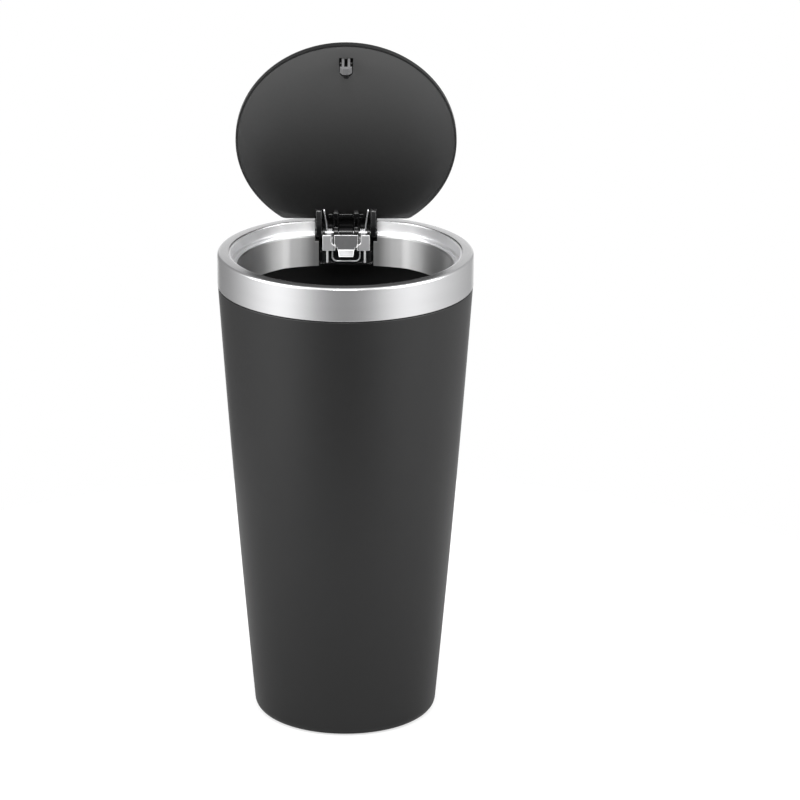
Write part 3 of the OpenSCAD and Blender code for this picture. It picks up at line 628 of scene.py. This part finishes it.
# Each copied piece's finish, the width of its rounded edges in millimetres, and what is special about it
COPIES = {
    "collar_band": ("satin_silver", 0.15, {}),
    # the sleeve and the recess carry painted light and shade in their colour
    "collar_insert": ("sleeve_silver_painted_light", 0.12, {"zone": recess_faces, "second": ("recess_silver",)}),
    "hinge_carrier": ("black_moulding", 0.18, {"reshape": raised_lip, "clamp": False}),
    "carrier_screws": ("stamped_steel", 0.03, {}),
    # the hinge cover's rounded edges take a painted highlight
    "hinge_cover": ("stamped_steel", 0.24, {"edge_look": "painted_edge_highlight", "clamp": False}),
    "lid_cover": ("lid_black", 0.1, {}),
    # the lid panel's colour holds a painted shade grade, and its pocket and bar top a painted shade black
    "lid_panel": ("lid_satin_painted_shade", 0.4, {
        "zone": lid_underside, "second": ("black_moulding", "painted_shade_black"),
        "segments": 3, "clamp": False, "share": ears_first,
    }),
    "striker": ("grey_acetal", 0.1, {"zone": striker_slot, "second": ("painted_shade_black",)}),
    "striker_screw": ("black_moulding", 0.03, {}),
    "latch_housing": ("black_moulding", 0.12, {}),
    "latch_screws": ("stamped_steel", 0.03, {}),
    "latch_plunger": ("white_acetal", 0.1, {}),
    "jaw_left": ("white_acetal", 0.08, {}),
    "jaw_right": ("white_acetal", 0.08, {}),
}

# Nodes that show as they are, in bright wire
WIRE_NODES = ("hinge_pin", "jaw_pins", "latch_follower")


def dress_nodes():
    """Rounded copies of the nodes with edges, and a finish on the small round ones."""
    for node, (look, width, special) in COPIES.items():
        refined(node, look, width, **special)
    for node in WIRE_NODES:
        materials = frame["nodes"][node].data.materials
        materials.clear()
        materials.append(FINISHES["bright_wire"])


def mesh_piece(name, node, look, points, faces):
    """A new smooth piece from its points in millimetres and its faces; it stands for a node."""
    mesh = bpy.data.meshes.new(name)
    mesh.from_pydata((points * MM).tolist(), [], faces)
    mesh.validate()
    mesh.shade_smooth()
    mesh.materials.append(FINISHES[look])
    piece = add_object(name, mesh)
    stand_for(node)
    return piece


def grid_faces(rows, columns):
    """Quads of a grid whose columns run round and close; row i meets row i + 1."""
    i, k = np.meshgrid(np.arange(rows - 1), np.arange(columns), indexing="ij")
    a, b = i * columns + k, i * columns + (k + 1) % columns
    return np.stack([a, b, b + columns, a + columns], -1).reshape(-1, 4)


def arc(centre, radius, start, end, count):
    """Points on a circle from one angle to another, both in degrees."""
    a = np.radians(np.linspace(start, end, count + 1))
    return np.stack([centre[0] + radius * np.cos(a), centre[1] + radius * np.sin(a)], -1)


def shell_radius(z):
    """The wall's radius: a straight taper from base to shoulder plus a bulge, a parabola of the height."""
    t = z / SHOULDER_Z
    return BASE_R + (SHELL_TOP_R - BASE_R) * t + 4 * SHELL_BULGE * t * (1 - t)


WALL_ROWS = 60
SHELL_TURNS = 256


def shell_profile():
    """Radius against height, in order: out along the standing ring, up the outer wall, over the shoulder and
    the neck, down inside and on to the floor. Stretches between the arcs follow the wall's radius."""
    lean = math.atan((SHELL_TOP_R - BASE_R + 4 * SHELL_BULGE) / SHOULDER_Z)
    wall = SHELL_WALL / math.cos(lean)
    foot = shell_radius(FOOT_ROUND) - FOOT_ROUND / math.cos(lean), FOOT_ROUND
    ring_in = foot[0] - FOOT_W
    corner_z = FLOOR_Z + FLOOR_ROUND
    corner = shell_radius(corner_z) - wall - FLOOR_ROUND, corner_z
    root_z = SHOULDER_Z - NECK_ROOT
    root_r = shell_radius(root_z - 1.0) - wall
    levels = np.linspace(0, 1, WALL_ROWS + 1)[1:] * (SHOULDER_Z - 0.25)
    rise = levels[levels > FOOT_ROUND + 1]
    fall = rise[(rise < root_z - 2.5) & (rise > corner_z + 1)][::-1]
    shoulder = SHELL_TOP_R - SHOULDER_ROUND, SHOULDER_Z - SHOULDER_ROUND
    neck_edge_z = NECK_Z - NECK_EDGE
    return np.concatenate([
        [[ring_in - BASE_LIFT, BASE_LIFT], [ring_in - 0.15, 0.12], [ring_in + 0.1, 0.0]],
        arc(foot, FOOT_ROUND, -90, -math.degrees(lean), 14),
        np.stack([shell_radius(rise), rise], -1),
        arc(shoulder, SHOULDER_ROUND, 20, 90, 5),
        [[NECK_OUT_R + 0.1, SHOULDER_Z], [NECK_OUT_R, SHOULDER_Z + 0.1]],
        arc((NECK_OUT_R - NECK_EDGE, neck_edge_z), NECK_EDGE, 0, 90, 5),
        arc((NECK_IN_R + NECK_EDGE, neck_edge_z), NECK_EDGE, 90, 180, 5),
        [[NECK_IN_R, root_z], [root_r, root_z - 1.0 - (root_r - NECK_IN_R)]],
        np.stack([shell_radius(fall) - wall, fall], -1),
        arc(corner, FLOOR_ROUND, 0, -90, 10),
    ])


def turned_shell():
    """The shell as a lathe turns it: its profile carried once round the axis, with a fan of triangles to the
    axis under the floor and another on top of it."""
    profile = shell_profile()
    rows = len(profile)
    a = np.arange(SHELL_TURNS) * 2 * np.pi / SHELL_TURNS
    r, z = profile[:, :1], profile[:, 1:]
    wall = np.stack([r * np.cos(a), r * np.sin(a), np.broadcast_to(z, (rows, SHELL_TURNS))], -1).reshape(-1, 3)
    points = np.concatenate([wall, [[0, 0, BASE_LIFT], [0, 0, FLOOR_Z]]])
    under, over = len(wall), len(wall) + 1
    ring = np.arange(SHELL_TURNS)
    after = (ring + 1) % SHELL_TURNS
    last = (rows - 1) * SHELL_TURNS
    faces = grid_faces(rows, SHELL_TURNS).tolist()
    faces += np.stack([after, ring, np.full(SHELL_TURNS, under)], -1).tolist()
    faces += np.stack([last + ring, last + after, np.full(SHELL_TURNS, over)], -1).tolist()
    piece = mesh_piece("shell_piece", "shell", "charcoal_coat", points, faces)
    piece.data.set_sharp_from_angle(angle=math.radians(32))
    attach(piece, "shell")


def wire_piece(name, node, path, radius, sides=16):
    """Round wire along a path: at each point a circle stands across the path, in a frame carried on without
    twist, and both ends are flat."""
    heading = np.gradient(path, axis=0)
    heading /= np.linalg.norm(heading, axis=1)[:, None]
    across = np.empty_like(path)
    side = np.cross(heading[0], [0.3, 0.5, 0.8])
    for i, along in enumerate(heading):
        side = side - along * side.dot(along)
        side /= np.linalg.norm(side)
        across[i] = side
    third = np.cross(heading, across)
    a = (np.arange(sides) * 2 * np.pi / sides)[None, :, None]
    rings = path[:, None] + radius * (across[:, None] * np.cos(a) + third[:, None] * np.sin(a))
    last = (len(path) - 1) * sides
    faces = grid_faces(len(path), sides).tolist()
    faces += [list(range(sides))[::-1], [last + k for k in range(sides)]]
    return mesh_piece(name, node, "bright_wire", rings.reshape(-1, 3), faces)


def lid_spring_wire():
    """Double torsion spring: a leg on the lid, a coil round the pin, a leg down and the bail, then the same
    mirrored."""
    start = 90 - OPEN_ANGLE
    sweep = start + 90 + 360 * COIL_TURNS
    tip_z = LID_UNDER_Z - WIRE_R - 0.05
    leg = on_open_lid(np.array([
        [COIL_X + LEG_SPLAY, HINGE_Y - LEG_LENGTH, tip_z],
        [COIL_X + LEG_SPLAY - 0.05, HINGE_Y - LEG_LENGTH + 0.8, tip_z - 0.05],
        [COIL_X, HINGE_Y - 2.1, HINGE_Z + COIL_R],
    ]))
    t = np.linspace(0, 1, 32 * (COIL_TURNS + 1) + 1)
    a = np.radians(start - sweep * t)
    inward = COIL_X + (BAIL_X - COIL_X) * t
    coil = np.stack([inward, HINGE_Y + COIL_R * np.cos(a), HINGE_Z + COIL_R * np.sin(a)], -1)
    foot_z, bail_z = HINGE_Z - COIL_R, RIM_Z - BAIL_DEPTH + WIRE_R
    turn = arc((BAIL_Y + LEG_BEND, foot_z - LEG_BEND), LEG_BEND, 90, 180, 8)
    corner = arc((BAIL_X - BAIL_ROUND, bail_z + BAIL_ROUND), BAIL_ROUND, 0, -90, 12)
    half = np.concatenate([
        leg,
        coil,
        np.stack([np.full(len(turn), BAIL_X), turn[:, 0], turn[:, 1]], -1),
        np.stack([corner[:, 0], np.full(len(corner), BAIL_Y), corner[:, 1]], -1),
    ])
    path = np.concatenate([half, half[::-1] * [-1, 1, 1]])
    piece = wire_piece("lid_spring_piece", "lid_spring", path, WIRE_R)
    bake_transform(piece)


def latch_spring_wire():
    """Fine wire under the plunger: a helix between the collar and the plunger."""
    low, high = LATCH_FOOT_Z + LATCH_WIRE_R, PLUNGER_FOOT_Z - LATCH_WIRE_R
    t = np.linspace(0, 1, LATCH_TURNS * 40 + 1)
    a = 2 * np.pi * LATCH_TURNS * t
    x, y = LATCH_COIL_R * np.cos(a), LATCH_COIL_R * np.sin(a) - LATCH_Y
    path = np.stack([x, y, low + (high - low) * t], -1)
    piece = wire_piece("latch_spring_piece", "latch_spring", path, LATCH_WIRE_R, 12)
    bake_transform(piece)


FLOOR_R = 0.24


def make_floor():
    """A pale round table top under the bin; it shows white to the camera and keeps the soft shadow."""
    shape = bmesh.new()
    bmesh.ops.create_circle(shape, cap_ends=True, segments=96, radius=FLOOR_R)
    mesh = bpy.data.meshes.new("floor")
    shape.to_mesh(mesh)
    shape.free()
    material = bpy.data.materials.new("pale_floor")
    tree = Tree(material)
    tone = tree.mix(tree.noise(tree.place(), 400.0, 2.0), (0.42, 0.42, 0.42), (0.44, 0.44, 0.44))
    matt = tree.add("ShaderNodeBsdfDiffuse", None, {"Color": tone})
    camera_ray = tree.add("ShaderNodeLightPath", out="Is Camera Ray")
    glow = tree.add("ShaderNodeEmission", None, {"Color": (1, 1, 1), "Strength": camera_ray * 0.62})
    both = tree.add("ShaderNodeAddShader", None, {0: matt, 1: glow})
    tree.add("ShaderNodeOutputMaterial", None, {"Surface": both})
    mesh.materials.append(material)
    add_object("floor", mesh)


# The studio's brightness against how far a direction turns from the front (0) to the back (1), on each side
FRONT_LIGHT = [(0.0, 0.30), (0.03, 0.42), (0.09, 0.76)]
LEFT_LIGHT = FRONT_LIGHT + [
    (0.17, 1.08), (0.27, 1.22), (0.37, 1.08), (0.50, 0.82), (0.64, 0.55), (0.80, 0.34), (1.0, 0.26),
]
RIGHT_LIGHT = FRONT_LIGHT + [
    (0.17, 1.0), (0.27, 1.08), (0.37, 1.0), (0.50, 0.82), (0.64, 0.70), (0.80, 0.56), (1.0, 0.40),
]


def make_world():
    """Soft light from all round, brightest at both sides and dim in front. The camera sees plain white, and
    so does metal where the backdrop stands behind the bin."""
    world = bpy.data.worlds.new("studio")
    SCENE.world = world
    tree = Tree(world)
    x, y, z = tree.axes(tree.sky())
    level = (x * x + y * y).root().most(0.001)
    turn = (y / level) * 0.5 + 0.5
    left, right = tree.ramp(turn, LEFT_LIGHT), tree.ramp(turn, RIGHT_LIGHT)
    sides = tree.mix((x / level).between(-0.15, 0.15), left, right)
    tone = tree.mix(z.between(0.8, 0.98), sides, (0.8, 0.8, 0.8))
    lit = tree.add("ShaderNodeBackground", None, {"Color": tone, "Strength": 1.0})
    white = tree.add("ShaderNodeBackground", None, {"Color": (1, 1, 1), "Strength": 1.0})
    camera_ray = tree.add("ShaderNodeLightPath", out="Is Camera Ray")
    glossy_ray = tree.add("ShaderNodeLightPath", out="Is Glossy Ray")
    clear_ray = tree.add("ShaderNodeLightPath", out="Is Transmission Ray")
    backdrop = turn.between(0.96, 0.99) * (1.0 - z.between(0.1, 0.5))
    seen = (camera_ray + clear_ray + glossy_ray * backdrop).least(1.0)
    both = tree.add("ShaderNodeMixShader", None, {0: seen, 1: lit, 2: white})
    tree.add("ShaderNodeOutputWorld", None, {"Surface": both})


LAMP_DISTANCE = 0.9


def panel_light(name, azimuth, elevation, size, power):
    """A soft rectangular light that faces the bin's middle. Azimuth 0 is in front, positive to the right."""
    a, e = math.radians(azimuth), math.radians(elevation)
    away = Vector((math.sin(a) * math.cos(e), -math.cos(a) * math.cos(e), math.sin(e)))
    data = bpy.data.lights.new(name, "AREA")
    data.shape = "RECTANGLE"
    data.size, data.size_y = size
    data.energy = power
    lamp = add_object(name, data)
    lamp.location = Vector((0, 0, 0.1)) + away * LAMP_DISTANCE
    lamp.rotation_euler = (-away).to_track_quat("-Z", "Y").to_euler()


def make_lights():
    """A weak panel above, a strip on each side for the bright bands, and a small panel in front."""
    panel_light("top_panel", -10, 70, (0.7, 0.7), 0.5)
    panel_light("left_strip", -70, 38, (0.75, 0.7), 6.4)
    panel_light("right_strip", 70, 38, (0.75, 0.7), 6.0)
    panel_light("front_panel", 0, 52, (0.22, 0.3), 2.2)


make_camera()
make_world()
make_lights()
make_floor()
dress_nodes()
turned_shell()
lid_spring_wire()
latch_spring_wire()

SCENE.view_settings.view_transform = "Standard"
